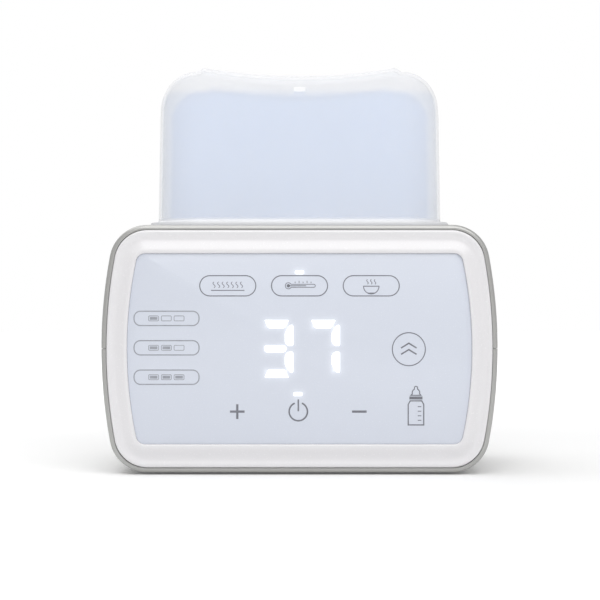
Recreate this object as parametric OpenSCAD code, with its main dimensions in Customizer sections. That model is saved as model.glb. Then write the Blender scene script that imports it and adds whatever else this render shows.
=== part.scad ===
// Twin electric bottle warmer: a two-part shell with a touch panel at the front,
// a water tank with two bottle wells, and a translucent lid that lifts off.
// X points right, Y to the back and Z up. The origin is on the table, under the middle.

/* [Body] */
// Width of the body across its bulging sides
body_w = 200; // [198:1:206]
// Height of the body without its feet
body_h = 125; // [124:1:128]
// Distance from the crest of the front frame to the end of the cord gland
body_d = 130; // [130:1:136]
// Thickness of the shell's walls
wall = 2.2; // [2:0.1:2.6]
// Radius of the bulge of the body's sides, seen from the front
side_r = 256; // [220:1:300]
// Radius of the body's corners, seen from the front
corner_r = 19; // [17:1:21]
// Radius of the shell's rear edges
rear_r = 16; // [12:1:18]
// Height that the rubber feet stand out below the body
foot_h = 1; // [0.8:0.1:2]

/* [Front] */
// Width of the touch panel
panel_w = 173.4; // [170:0.2:176]
// Height of the touch panel
panel_h = 95.8; // [92:0.2:98]
// Radius of the bulge of the panel's sides
panel_side_r = 215; // [180:1:260]
// Radius of the panel's corners
panel_corner_r = 4.5; // [3:0.5:8]
// Height of a display digit
digit_h = 29; // [26:0.5:32]
// Width of a display digit
digit_w = 15; // [13:0.2:17]

/* [Wells] */
// Inside diameter of a bottle well
well_d = 70; // [66:0.5:70]
// Distance between the centres of the two wells
well_pitch = 72; // [72:0.5:73]
// Depth of a well below the deck
well_depth = 100; // [92:1:100]
// Place of the wells' centres behind the middle of the body
well_y = 3; // [2:0.5:4]

/* [Lid] */
// Width of the lid at its foot
lid_w = 148.6; // [148:0.2:150]
// Depth of the lid at its foot
lid_d = 88.6; // [86:0.2:92]
// Height of the lid above the deck, at the tips of its scoop
lid_h = 82.8; // [70:0.2:95]
// Wall thickness of the lid
lid_wall = 1.6; // [1.4:0.1:1.8]
// Depth of the scoop in the lid's top, below its tips
scoop_depth = 4.6; // [3:0.2:6]
// Half the width of the scoop
scoop_half_w = 50.5; // [44:0.5:51]

/* [Hidden] */
$fn = 64;

// Heights
mid_z = foot_h + body_h / 2;
top_z = foot_h + body_h;
floor_z = foot_h + wall;

// Depths at the front: crest of the bezel, rim of the shell, panel and boards
crest_y = -body_d / 2;
rim_y = crest_y + 2.5;
panel_front_y = crest_y + 1.4;
panel_t = 2;
panel_back_y = panel_front_y + panel_t;
adhesive_t = 0.3;
ledge_y = panel_back_y + adhesive_t;
ledge_t = 2;
board_t = 1.6;
touch_board_y = crest_y + 11.6;
bezel_gap = 0.45;
bezel_a = body_w / 2 - wall - bezel_gap;
bezel_b = body_h / 2 - wall - bezel_gap;

// Depths at the back
gland_out = 4;
rear_y = body_d / 2 - gland_out;
rear_in_y = rear_y - wall;
power_board_y = rear_in_y - 4 - board_t;

// Screw columns that hold the two halves of the shell together
column_x = body_w / 2 - 20;
column_ys = [-24, 32];
column_r = 4.5;
seam_gap = 0.3;
access_r = 3.3;
pilot_r = 1.2;
screw_hole_r = 1.7;
housing_pilot_r = 1.5;

// Touch keys on the panel, from the body's centre: [x, z]
top_keys = [for (i = [-1 : 1]) [36.1 * i, 31.7]];
side_keys = [for (i = [-1 : 1]) [-66.9, 14.8 * i + 0.5]];
bottom_keys = [for (i = [-1 : 1]) [30.7 * i - 0.6, -31.6]];
heat_key = [55, -0.2];
touch_keys = concat(top_keys, side_keys, bottom_keys, [heat_key]);
guides = [[0, 38.5], [-0.8, -22.8]];
guide_size = [4.4, 1.9];
display_x = 1.1;
digit_pitch = 23.5;
segment_t = 4.2;

// Screws of the front
board_screw_x = bezel_a - 8.9;
board_screw_z = 30;
bezel_screw_x = 60;
bezel_screw_z = bezel_b - 5.4;

// Wells, deck and lid
well_r = well_d / 2;
tank_wall = 1.8;
tank_r = well_r + tank_wall;
well_x = well_pitch / 2;
well_floor_z = top_z - well_depth;
tank_bottom_z = well_floor_z - 2.2;
deck_t = 2;
gasket_t = 0.8;
deck_w = 158.4;
deck_d = 98.4;
deck_r = 24;
seat_gap = 0.25;
collar_drop = 4.8;
collar_h = 3.3;
tank_screw_x = 64;
tank_screw_y = 41;
lid_r = 22;
lid_draft = 1;
flange_out = 4.2;
flange_t = 2.8;
lip_h = 3;
channel_w = 14;

// Heating plates and heaters
plate_r = 30;
plate_t = 1.2;
seal_t = 1.2;
pan_r = 24;
pan_rise = 3.2;
plate_z = tank_bottom_z - seal_t - plate_t;
heater_r = 21.5;
heater_h = 9.4;
heater_top_z = plate_z + pan_rise - plate_t;
heater_z = heater_top_z - heater_h;
strap_t = 1.2;
strap_screw_r = 33.4;

// Mains entry
gland_x = -76;
gland_z = 27;
gland_half = 5.2;
gland_corner_r = 1.5;
gland_gap = 0.15;
cord_r = 3.5;
clamp_y = 46;
clamp_t = 3;

// Colours
silver = [0.68, 0.69, 0.67];
white = [0.95, 0.95, 0.97];
panel_blue = [0.84, 0.86, 0.90];
steel = [0.75, 0.76, 0.78];
board_green = [0.12, 0.38, 0.24];
dark = [0.12, 0.12, 0.13];

// ---- Outlines and helpers ----

// Points of an arc about c, leaving out the first when skip is 1
function arc(c, r, a0, a1, n, skip = 0) =
    [for (i = [skip : n]) let (a = a0 + (a1 - a0) * i / n) [c.x + r * cos(a), c.y + r * sin(a)]];

function reversed(v) = [for (i = [len(v) - 1 : -1 : 0]) v[i]];
function tail(v) = [for (i = [1 : len(v) - 1]) v[i]];

// Closes an outline from its upper right quarter, which starts on the X axis
function four_way(q) = concat(
    q,
    reversed([for (p = q) [-p.x, p.y]]),
    tail([for (p = q) [-p.x, -p.y]]),
    reversed(tail([for (p = q) [p.x, -p.y]]))
);

// Rectangle of half size a by b with sides bulged to radius rs and corners rounded to rc
function bulged(a, b, rs, rc) =
    let (
        sx = a - rs,
        cz = b - rc,
        cx = sx + sqrt(pow(rs - rc, 2) - cz * cz),
        turn = asin(cz / (rs - rc))
    )
    four_way(concat(arc([sx, 0], rs, 0, turn, 6), arc([cx, cz], rc, turn, 90, 8, 1)));

// Draws a profile in X and Z and gives it depth along Y
module along_y(y0, y1) {
    translate([0, y1, 0]) rotate([90, 0, 0]) linear_extrude(y1 - y0) children();
}

// Draws a profile in Y and Z and gives it width along X
module along_x(x0, x1) {
    translate([x0, 0, 0]) rotate([90, 0, 90]) linear_extrude(x1 - x0) children();
}

// Cylinder along Y between two depths
module rod_y(x, z, r, y0, y1) {
    translate([x, y1, z]) rotate([90, 0, 0]) cylinder(r = r, h = y1 - y0);
}

// Rectangle with round corners, centred
module rounded(w, d, r) {
    square([w - 2 * r, d], center = true);
    square([w, d - 2 * r], center = true);
    for (x = [-1, 1], y = [-1, 1]) translate([x * (w / 2 - r), y * (d / 2 - r)]) circle(r);
}

// Rectangle from y0 to y1 with its two corners at y1 rounded
module far_rounded(half_w, y0, y1, r) {
    translate([-half_w, y0]) square([2 * half_w, y1 - r - y0]);
    translate([r - half_w, y0]) square([2 * (half_w - r), y1 - y0]);
    for (s = [-1, 1]) translate([s * (half_w - r), y1 - r]) circle(r);
}

// Block of the body's shape, smaller by inset on every side, starting at depth front_y
module body_block(inset, front_y) {
    slack = 1 - inset;
    intersection() {
        along_y(front_y, rear_y - inset)
            translate([0, mid_z])
                polygon(bulged(body_w / 2 - inset, body_h / 2 - inset, side_r - inset, corner_r - inset));
        linear_extrude(top_z + 10)
            far_rounded(body_w / 2 + slack, front_y - 5, rear_y - inset, rear_r - inset);
        along_x(-body_w, body_w)
            translate([0, mid_z])
                mirror([1, -1])
                    far_rounded(body_h / 2 + slack, front_y - 5, rear_y - inset, rear_r - inset);
    }
}

module shell_walls() {
    difference() {
        body_block(0, rim_y);
        body_block(wall, rim_y - 8);
    }
}

// Everything above or below a height
module above(z) translate([-body_w, -body_d, z]) cube([2 * body_w, 2 * body_d, 2 * body_h]);
module below(z) translate([-body_w, -body_d, z - 2 * body_h]) cube([2 * body_w, 2 * body_d, 2 * body_h]);

// Pan-head screw along +Z from the origin: the head hangs below, the shank goes up
module screw(shank_r, shank_l, head_r, head_h) {
    difference() {
        union() {
            cylinder(r = shank_r, h = shank_l);
            translate([0, 0, -head_h]) cylinder(r = head_r, h = head_h);
        }
        for (a = [0, 90]) rotate(a)
            translate([-head_r * 0.6, -0.35, -head_h - 1]) cube([head_r * 1.2, 0.7, 1 + head_h * 0.5]);
    }
}

module at_columns() for (x = [-1, 1], y = column_ys) translate([x * column_x, y, 0]) children();
module at_wells() for (s = [-1, 1]) translate([s * well_x, well_y, 0]) children();
module at_tank_screws(z) for (x = [-1, 1], y = [-1, 1])
    translate([x * tank_screw_x, well_y + y * tank_screw_y, z]) children();
module at_straps(z) at_wells() for (y = [-1, 1]) translate([0, y * strap_screw_r, z]) children();
module at_bezel_screws() for (x = [-1, 1], z = [-1, 1])
    translate([x * bezel_screw_x, 0, mid_z + z * bezel_screw_z]) children();
module at_board_screws() for (x = [-1, 1], z = [-1, 1])
    translate([x * board_screw_x, 0, mid_z + z * board_screw_z]) children();

// ---- Shell ----

lug_y = touch_board_y + 1.2;
lug_t = 3;

// Lugs that take the front frame's screws, on one side of the body: s is 1 at the top
module bezel_lugs(s) {
    low = mid_z + (s > 0 ? bezel_screw_z - 4 : 1 - body_h / 2);
    for (x = [-1, 1]) translate([x * bezel_screw_x - 4, lug_y, low])
        cube([8, lug_t, body_h / 2 - bezel_screw_z + 3]);
}

module bezel_lug_holes() {
    at_bezel_screws() rod_y(0, 0, screw_hole_r, lug_y - 1, lug_y + lug_t + 1);
}

seam_z = mid_z;
tongue_h = 2;
tongue_inset = 1.2;

module upper_housing() color(silver) difference() {
    union() {
        intersection() {
            shell_walls();
            above(seam_z + seam_gap / 2);
        }
        translate([0, well_y, top_z - collar_drop])
            linear_extrude(collar_h) rounded(deck_w + 4.6, deck_d + 4.6, deck_r + 2.3);
        intersection() {
            body_block(1, rim_y);
            union() {
                at_columns() translate([0, 0, seam_z + seam_gap / 2]) cylinder(r = column_r, h = body_h);
                bezel_lugs(1);
            }
        }
    }
    // Room for the tongue of the lower half
    intersection() {
        difference() {
            body_block(tongue_inset - 0.15, rim_y - 8);
            body_block(wall + 0.2, rim_y - 9);
        }
        translate([-body_w, -body_d, seam_z - 1]) cube([2 * body_w, 2 * body_d, tongue_h + 1.2]);
    }
    // Seat for the deck and its gasket, and the opening for the wells
    translate([0, well_y, top_z - deck_t - gasket_t])
        linear_extrude(10) rounded(deck_w + 2 * seat_gap, deck_d + 2 * seat_gap, deck_r + seat_gap);
    translate([0, 0, top_z - 10]) linear_extrude(20) {
        at_wells() circle(tank_r + 1);
        translate([0, well_y]) square([well_pitch, 2 * tank_r + 2], center = true);
    }
    at_tank_screws(top_z - 10) cylinder(r = access_r, h = 10);
    at_columns() translate([0, 0, seam_z - 1]) cylinder(r = housing_pilot_r, h = 14);
    bezel_lug_holes();
}

foot_xs = [-66, 66];
foot_ys = [-44, 38];
foot_r = 6;
foot_seat = 1.2;
vent_count = 9;
vent_pitch = 11;

module vent_slot(w, l) {
    square([w, l - w], center = true);
    for (s = [-1, 1]) translate([0, s * (l - w) / 2]) circle(w / 2);
}

standoff_x = 57;
standoff_zs = [floor_z + 8, seam_z - 9];

module at_standoffs() for (x = [-1, 1], z = standoff_zs) translate([x * standoff_x, 0, z]) children();
module at_clamp(z) for (x = [-9, 9]) translate([gland_x + x, clamp_y, z]) children();

// Square neck that stops the cord gland turning in the wall, larger by grow
module gland_neck(grow, y0, y1) along_y(y0, y1) translate([gland_x, gland_z])
    rounded(2 * (gland_half + grow), 2 * (gland_half + grow), gland_corner_r + grow);

module lower_housing() color(silver) difference() {
    union() {
        intersection() {
            shell_walls();
            below(seam_z - seam_gap / 2);
        }
        // Tongue that keys into the upper half
        intersection() {
            difference() {
                body_block(tongue_inset, rim_y + 1);
                body_block(wall, rim_y - 8);
            }
            translate([-body_w, -body_d, seam_z - 1]) cube([2 * body_w, 2 * body_d, tongue_h + 1]);
        }
        intersection() {
            body_block(1, rim_y);
            union() {
                at_columns() translate([0, 0, foot_h])
                    cylinder(r = column_r, h = seam_z - seam_gap / 2 - foot_h);
                bezel_lugs(-1);
                // Saddle and posts of the cord clamp
                translate([gland_x - 3, clamp_y - 4, foot_h]) cube([6, 8, gland_z - cord_r - foot_h - 0.1]);
                at_clamp(foot_h) cylinder(r = 3, h = gland_z + cord_r - foot_h);
                at_standoffs() rod_y(0, 0, 3, power_board_y + board_t, rear_y);
            }
        }
    }
    // Screw access from below and the holes through the top of each column
    at_columns() {
        translate([0, 0, -1]) cylinder(r = access_r, h = seam_z - 14);
        cylinder(r = screw_hole_r, h = body_h);
    }
    for (x = foot_xs, y = foot_ys) translate([x, y, 0]) cylinder(r = foot_r + 0.1, h = foot_h + foot_seat);
    for (i = [0 : vent_count - 1], y = [-22, 24])
        translate([(i - (vent_count - 1) / 2) * vent_pitch, y, 0])
            linear_extrude(floor_z + 1) vent_slot(3, 26);
    gland_neck(gland_gap, rear_y - 12, rear_y + 1);
    at_clamp(gland_z + cord_r - 10) cylinder(r = pilot_r, h = 20);
    at_standoffs() rod_y(0, 0, pilot_r, power_board_y, rear_in_y - 0.5);
    bezel_lug_holes();
}

module rubber_feet() color(dark)
    for (x = foot_xs, y = foot_ys) translate([x, y, 0]) cylinder(r = foot_r, h = foot_h + foot_seat);

module housing_screws() color(steel)
    at_columns() translate([0, 0, seam_z - 15]) screw(1.4, 26, 2.8, 2);

// ---- Front ----

// Outline of the panel, larger by grow
module panel_outline(grow) {
    polygon(bulged(panel_w / 2 + grow, panel_h / 2 + grow, panel_side_r + grow,
                   panel_corner_r + max(grow, -3)));
}

// Outline of the front frame, smaller by inset
module bezel_outline(inset) {
    polygon(bulged(bezel_a - inset, bezel_b - inset, side_r - wall - inset, corner_r - wall - inset));
}

// Slice of an outline at a depth, thick enough to join its neighbours
module front_slice(y) along_y(y, y + 0.1) translate([0, mid_z]) children();

skirt_y = ledge_y + 6;
skirt_t = 2;

module front_bezel() color(white) {
    difference() {
        union() {
            hull() {
                front_slice(crest_y) bezel_outline(5.5);
                front_slice(crest_y + 0.5) bezel_outline(2.6);
                front_slice(crest_y + 1.4) bezel_outline(0.8);
                front_slice(rim_y) bezel_outline(0);
            }
            along_y(rim_y, skirt_y) translate([0, mid_z]) bezel_outline(0);
        }
        along_y(crest_y - 1, ledge_y) translate([0, mid_z]) panel_outline(0.2);
        along_y(crest_y - 1, skirt_y + 1) translate([0, mid_z]) panel_outline(-4);
        along_y(ledge_y + ledge_t, skirt_y + 1) translate([0, mid_z]) bezel_outline(skirt_t);
    }
    difference() {
        union() {
            at_board_screws() rod_y(0, 0, 3, ledge_y + ledge_t - 0.2, touch_board_y);
            at_bezel_screws() rod_y(0, 0, 3, ledge_y + ledge_t - 0.2, lug_y);
        }
        at_board_screws() rod_y(0, 0, pilot_r, ledge_y + ledge_t + 0.6, touch_board_y + 1);
        at_bezel_screws() rod_y(0, 0, pilot_r, ledge_y + ledge_t + 0.6, lug_y + 1);
    }
}

module touch_panel() color(panel_blue)
    along_y(panel_front_y, panel_back_y) translate([0, mid_z]) panel_outline(0);

module panel_adhesive() color(dark) along_y(panel_back_y, ledge_y) translate([0, mid_z]) difference() {
    panel_outline(0);
    panel_outline(-4);
}

module at_keys() for (k = touch_keys) translate([k.x, 0, mid_z + k.y]) children();
module at_guides() for (g = guides) translate([g.x, 0, mid_z + g.y]) children();

display_half_w = 26;
display_half_h = 19;
shield_y = touch_board_y - 4.6;
shield_t = 2.4;

module light_shield() color(white) difference() {
    union() {
        translate([-78, shield_y, mid_z - 39]) cube([156, shield_t, 82]);
        for (x = [-74, 74], z = [-35, 39]) rod_y(x, mid_z + z, 1.5, shield_y + 1, touch_board_y);
    }
    at_keys() rod_y(0, 0, 4.6, shield_y - 1, shield_y + shield_t + 1);
    translate([display_x - display_half_w - 0.4, shield_y - 1, mid_z - display_half_h - 0.4])
        cube([2 * display_half_w + 0.8, shield_t + 2, 2 * display_half_h + 0.8]);
    at_guides() translate([-guide_size.x / 2 - 0.4, shield_y - 1, -guide_size.y / 2 - 0.4])
        cube([guide_size.x + 0.8, shield_t + 2, guide_size.y + 0.8]);
}

// Contact springs that carry the touch through to the board
module touch_springs() color(steel) at_keys() difference() {
    rod_y(0, 0, 3.8, panel_back_y + 0.05, touch_board_y);
    rod_y(0, 0, 3.2, panel_back_y - 1, touch_board_y + 1);
}

display_face_y = panel_back_y + 1;

module display_module() color(white)
    translate([display_x - display_half_w, display_face_y, mid_z - display_half_h])
        cube([2 * display_half_w, touch_board_y - display_face_y, 2 * display_half_h]);

// Bars of a digit: a is half its width and b half its height
module top_bar() {
    a = digit_w / 2;
    b = digit_h / 2;
    t = segment_t;
    polygon([[0.5 - a, b], [0.6 * t - a, b - t], [a - 1.07 * t, b - t], [a - 0.5 * t, b]]);
}

module right_bar() {
    a = digit_w / 2;
    b = digit_h / 2;
    t = segment_t;
    polygon([[a, b - 0.7 * t], [a - 0.12 * t, b - 0.6 * t], [a - 0.36 * t, b - 0.6 * t],
             [a - t, b - 1.55 * t], [a - t, 0.8 * t], [a - 0.62 * t, 0.36 * t],
             [a - 0.1 * t, 0.36 * t], [a, 0.46 * t]]);
}

module middle_bar() {
    a = digit_w / 2;
    h = 0.42 * segment_t;
    polygon([[0.5 - a, 1.2], [1.1 - a, h], [a - 4.3, h], [a - 3.2, 0],
             [a - 4.3, -h], [1.3 - a, -h], [0.5 - a, -0.9]]);
}

module display_segments() color("white") along_y(panel_back_y + 0.1, display_face_y)
    translate([display_x, mid_z]) {
        // Three
        translate([-digit_pitch / 2, 0]) {
            for (s = [0, 1]) mirror([0, s]) {
                top_bar();
                right_bar();
            }
            middle_bar();
        }
        // Seven
        translate([digit_pitch / 2, 0]) {
            top_bar();
            for (s = [0, 1]) mirror([0, s]) right_bar();
        }
    }

module light_guides() color("white") at_guides()
    translate([-guide_size.x / 2, panel_back_y + 0.1, -guide_size.y / 2])
        cube([guide_size.x, touch_board_y - panel_back_y - 0.9, guide_size.y]);

// Small lamps on the board: one beside each key and one behind each light guide
module leds() color("lightyellow") {
    at_keys() translate([4.6, touch_board_y - 0.8, -1]) cube([3, 0.8, 2]);
    at_guides() translate([-1.5, touch_board_y - 0.8, -1]) cube([3, 0.8, 2]);
}

touch_board_half = [board_screw_x + 3.2, 40];

module touch_board() color(board_green) difference() {
    union() {
        translate([-touch_board_half.x, touch_board_y, mid_z - touch_board_half.y])
            cube([2 * touch_board_half.x, board_t, 2 * touch_board_half.y]);
        // Controller, driver and connector on the back
        translate([-45, touch_board_y + board_t, mid_z - 8]) cube([14, 1.4, 14]);
        translate([24, touch_board_y + board_t, mid_z - 6]) cube([10, 1.2, 8]);
        translate([-7, touch_board_y + board_t, mid_z - 36]) cube([14, 5, 6]);
    }
    at_board_screws() rod_y(0, 0, screw_hole_r, touch_board_y - 1, touch_board_y + board_t + 1);
}

module buzzer() color(dark) translate([58, 0, mid_z + 18]) difference() {
    rod_y(0, 0, 6, touch_board_y + board_t, touch_board_y + board_t + 7);
    rod_y(0, 0, 1, touch_board_y + board_t + 5, touch_board_y + board_t + 8);
}

// Turns a screw so that it points to the front from a plane at depth y
module screw_to_front(y) translate([0, y, 0]) rotate([90, 0, 0]) children();

module board_screws() color(steel)
    at_board_screws() screw_to_front(touch_board_y + board_t) screw(1.15, 5, 2.6, 1.6);

module bezel_screws() color(steel)
    at_bezel_screws() screw_to_front(lug_y + lug_t) screw(1.15, 9, 2.8, 1.8);

// ---- Water tank ----

module deck_plate() rounded(deck_w, deck_d, deck_r);

module water_tank() color(white) {
    tank_walls();
    // Ribs that hold a bottle clear of the heating plate
    at_wells() for (a = [45 : 90 : 315]) rotate(a)
        translate([pan_r + 2.5, -1, well_floor_z - 0.2]) cube([well_r - pan_r - 2, 2, 4.2]);
}

module tank_walls() difference() {
    union() {
        translate([0, well_y, top_z - deck_t]) linear_extrude(deck_t) deck_plate();
        // Lip that the lid fits over
        translate([0, well_y, top_z - 1]) linear_extrude(lip_h + 1)
            rounded(lid_w - 2 * lid_wall - 0.9, lid_d - 2 * lid_wall - 0.9, lid_r - lid_wall - 0.4);
        at_wells() translate([0, 0, tank_bottom_z]) cylinder(r = tank_r, h = top_z - tank_bottom_z - 1);
        translate([-7, well_y - channel_w / 2 - 2, tank_bottom_z])
            cube([14, channel_w + 4, top_z - tank_bottom_z - 1]);
        // Bosses for the heater straps and the deck's screws
        at_straps(heater_z) cylinder(r = 3, h = tank_bottom_z - heater_z + 1);
        at_tank_screws(top_z - deck_t - 2.2) cylinder(r = 3, h = 3);
    }
    // The deck inside the lip, the wells and the channel between them
    translate([0, well_y, top_z]) linear_extrude(10)
        rounded(lid_w - 2 * lid_wall - 3.3, lid_d - 2 * lid_wall - 3.3, lid_r - lid_wall - 1.6);
    at_wells() translate([0, 0, well_floor_z]) cylinder(r = well_r, h = body_h);
    at_wells() translate([0, 0, tank_bottom_z - 1]) cylinder(r = pan_r + 0.8, h = body_h);
    translate([-8, well_y - channel_w / 2, well_floor_z]) cube([16, channel_w, body_h]);
    at_straps(heater_z - 1) cylinder(r = pilot_r, h = 9);
    at_tank_screws(top_z - 8) cylinder(r = pilot_r, h = 7.2);
}

module tank_gasket() color("gainsboro") translate([0, well_y, top_z - deck_t - gasket_t])
    linear_extrude(gasket_t) difference() {
        rounded(deck_w - 1, deck_d - 1, deck_r - 0.5);
        rounded(deck_w - 5, deck_d - 5, deck_r - 2.5);
    }

module tank_screws() color(steel) at_tank_screws(top_z - collar_drop) screw(1.15, 3.8, 4.2, 1.6);

// ---- Heating, one set under each well: s is -1 on the left and 1 on the right ----

module at_well(s) translate([s * well_x, well_y, 0]) children();

// Drawn steel plate with a raised pan in the middle
module heating_plate(s) color(steel) at_well(s) translate([0, 0, plate_z]) rotate_extrude()
    polygon([[0, pan_rise], [pan_r, pan_rise], [pan_r, plate_t], [plate_r, plate_t], [plate_r, 0],
             [pan_r - plate_t, 0], [pan_r - plate_t, pan_rise - plate_t], [0, pan_rise - plate_t]]);

module plate_seal(s) color("gainsboro") at_well(s) translate([0, 0, plate_z + plate_t]) difference() {
    cylinder(r = plate_r - 0.5, h = seal_t);
    translate([0, 0, -1]) cylinder(r = pan_r + 1, h = seal_t + 2);
}

lead_x = 8;
lead_r = 1;
lead_z = heater_z + 4;

module heater(s) color("silver") at_well(s) translate([0, 0, heater_z]) {
    difference() {
        cylinder(r = heater_r, h = heater_h);
        translate([0, 0, -1]) cylinder(r = 9, h = 4);
    }
}

module heater_strap(s) color(steel) at_well(s) translate([0, 0, heater_z - strap_t]) difference() {
    union() {
        translate([-5, -strap_screw_r, 0]) cube([10, 2 * strap_screw_r, strap_t]);
        for (y = [-1, 1]) translate([0, y * strap_screw_r, 0]) cylinder(r = 5, h = strap_t);
    }
    for (y = [-1, 1]) translate([0, y * strap_screw_r, -1]) cylinder(r = screw_hole_r, h = strap_t + 2);
}

module strap_screws() color(steel) at_straps(heater_z - strap_t) screw(1.15, 7, 2.8, 1.8);

sensor_x = 27;

module temperature_sensor(s) color(dark) at_well(s)
    translate([-s * sensor_x, 0, plate_z - 6]) cylinder(r = 2.4, h = 6);

module thermal_fuse(s) color("beige") at_well(s) rod_y(s * (sensor_x - 1), plate_z - 2, 2, -6, 6);

// ---- Power and wiring ----

power_board_half_w = 63;
power_board_z = floor_z + 3.6;
power_board_h = seam_z - 3 - power_board_z;

module power_board() color(board_green) difference() {
    translate([-power_board_half_w, power_board_y, power_board_z])
        cube([2 * power_board_half_w, board_t, power_board_h]);
    at_standoffs() rod_y(0, 0, screw_hole_r, power_board_y - 1, power_board_y + board_t + 1);
}

// Box on the power board: x and z of its middle, its size along X, Y and Z
module on_board(x, z, size) translate([x - size.x / 2, power_board_y - size.y, z - size.z / 2]) cube(size);

module transformer() {
    color(dark) on_board(0, seam_z - 22, [14, 18, 20]);
    color("goldenrod") on_board(0, seam_z - 22, [22, 12, 12]);
}

module relays() color("royalblue") for (s = [-1, 1]) on_board(s * 54, seam_z - 25, [15, 13, 19]);

module filter_capacitor() color("gold") on_board(-28, seam_z - 22, [18, 8, 14]);

module smoothing_capacitors() color("midnightblue") for (x = [22, 34])
    rod_y(x, seam_z - 20, 4.5, power_board_y - 10, power_board_y);

module terminal_block() color("seagreen") difference() {
    on_board(-53, floor_z + 15.5, [14, 10, 9]);
    for (x = [-56.5, -49.5]) rod_y(x, floor_z + 15.5, 2, power_board_y - 11, power_board_y - 6);
}

module line_fuse() color("aliceblue") translate([26, power_board_y - 4, floor_z + 6])
    rotate([0, 90, 0]) cylinder(r = 2.6, h = 20);

module power_board_screws() color(steel) at_standoffs()
    translate([0, power_board_y, 0]) rotate([-90, 0, 0]) screw(1.15, 5, 2.6, 1.6);

ribbon_w = 10;
ribbon_t = 1;
ribbon_y0 = touch_board_y + board_t + 5;
ribbon_z0 = floor_z + 2.6;
ribbon_z1 = mid_z - 33;

// Flat cable from the touch board, along the floor, to the power board
module display_ribbon() color("whitesmoke") along_x(-ribbon_w / 2, ribbon_w / 2) {
    translate([ribbon_y0, ribbon_z0]) square([ribbon_t, ribbon_z1 - ribbon_z0]);
    translate([ribbon_y0, ribbon_z0]) square([power_board_y - ribbon_y0, ribbon_t]);
    translate([power_board_y - ribbon_t, ribbon_z0]) square([ribbon_t, 12]);
}

module heater_leads() color("firebrick") for (s = [-1, 1], x = [-lead_x, lead_x])
    rod_y(s * well_x + x, lead_z, lead_r,
          well_y + sqrt(pow(heater_r, 2) - pow(lead_x - lead_r, 2)) + 0.05, power_board_y);

module sensor_leads() color(dark) for (s = [-1, 1]) {
    rod_y(s * (well_x - sensor_x), plate_z - 4, 0.8, well_y + 2.4, power_board_y);
    rod_y(s * (well_x + sensor_x - 1), plate_z - 2, 0.8, well_y + 6, power_board_y);
}

// ---- Mains entry ----

module cord_gland() color(dark) difference() {
    union() {
        gland_neck(0, rear_in_y - 2, rear_y + 1);
        rod_y(gland_x, gland_z, 7.6, rear_in_y - 2, rear_in_y);
        rod_y(gland_x, gland_z, 7.6, rear_y, rear_y + 1.5);
        translate([gland_x, rear_y + gland_out, gland_z]) rotate([90, 0, 0])
            cylinder(r1 = 5, r2 = 6.4, h = gland_out - 1);
    }
    rod_y(gland_x, gland_z, cord_r, rear_in_y - 3, rear_y + gland_out + 1);
}

module cord_clamp() color(white) difference() {
    translate([gland_x - 13, clamp_y - 4, gland_z + cord_r]) cube([26, 8, clamp_t]);
    at_clamp(gland_z) cylinder(r = screw_hole_r, h = 20);
}

module clamp_screws() color(steel)
    at_clamp(gland_z + cord_r + clamp_t) mirror([0, 0, 1]) screw(1.15, 11, 2.8, 1.8);

// ---- Lid ----

lid_corner_r = 19.5;
lid_edge_r = 6;
shoulder_drop = 2.3;
tip_ramp = 2;
vent_w = 6.5;
vent_l = 36;
vent_y = 13;

// Front view of the lid from the deck up, smaller by inset, with the scoop in its top
module lid_front(inset) {
    a = lid_w / 2;
    shoulder = lid_h - shoulder_drop;
    scoop_r = (pow(scoop_half_w, 2) + pow(scoop_depth, 2)) / (2 * scoop_depth);
    scoop_turn = asin(scoop_half_w / scoop_r);
    right = concat(
        [[a, -3 * inset]],
        arc([a - lid_draft - lid_corner_r, shoulder - lid_corner_r], lid_corner_r, 0, 90, 8),
        [[scoop_half_w + tip_ramp, shoulder]],
        arc([0, lid_h - scoop_depth + scoop_r], scoop_r, scoop_turn - 90, -90, 7)
    );
    left = reversed([for (i = [0 : len(right) - 2]) [-right[i].x, right[i].y]]);
    offset(delta = -inset) polygon(concat(right, left));
}

// Side view of the lid, smaller by inset
module lid_side(inset) {
    a = lid_d / 2;
    right = concat(
        [[a, -3 * inset]],
        arc([a - lid_draft - lid_edge_r, lid_h - lid_edge_r], lid_edge_r, 0, 90, 6)
    );
    offset(delta = -inset) polygon(concat(right, reversed([for (p = right) [-p.x, p.y]])));
}

// Solid of the lid's outside, smaller by inset, standing on the deck
module lid_block(inset) intersection() {
    translate([0, 0, -3 * inset])
        linear_extrude(2 * lid_h) rounded(lid_w - 2 * inset, lid_d - 2 * inset, lid_r - inset);
    along_y(-lid_d, lid_d) lid_front(inset);
    along_x(-lid_w, lid_w) lid_side(inset);
}

module lid() color([0.86, 0.90, 0.96, 0.6]) translate([0, well_y, top_z]) difference() {
    union() {
        lid_block(0);
        linear_extrude(flange_t)
            rounded(lid_w + 2 * flange_out, lid_d + 2 * flange_out, lid_r + flange_out);
    }
    lid_block(lid_wall);
    // Steam vent
    translate([0, vent_y, lid_h - 12]) linear_extrude(20) vent_slot(vent_w, vent_l);
}

// ---- What is drawn ----

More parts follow.
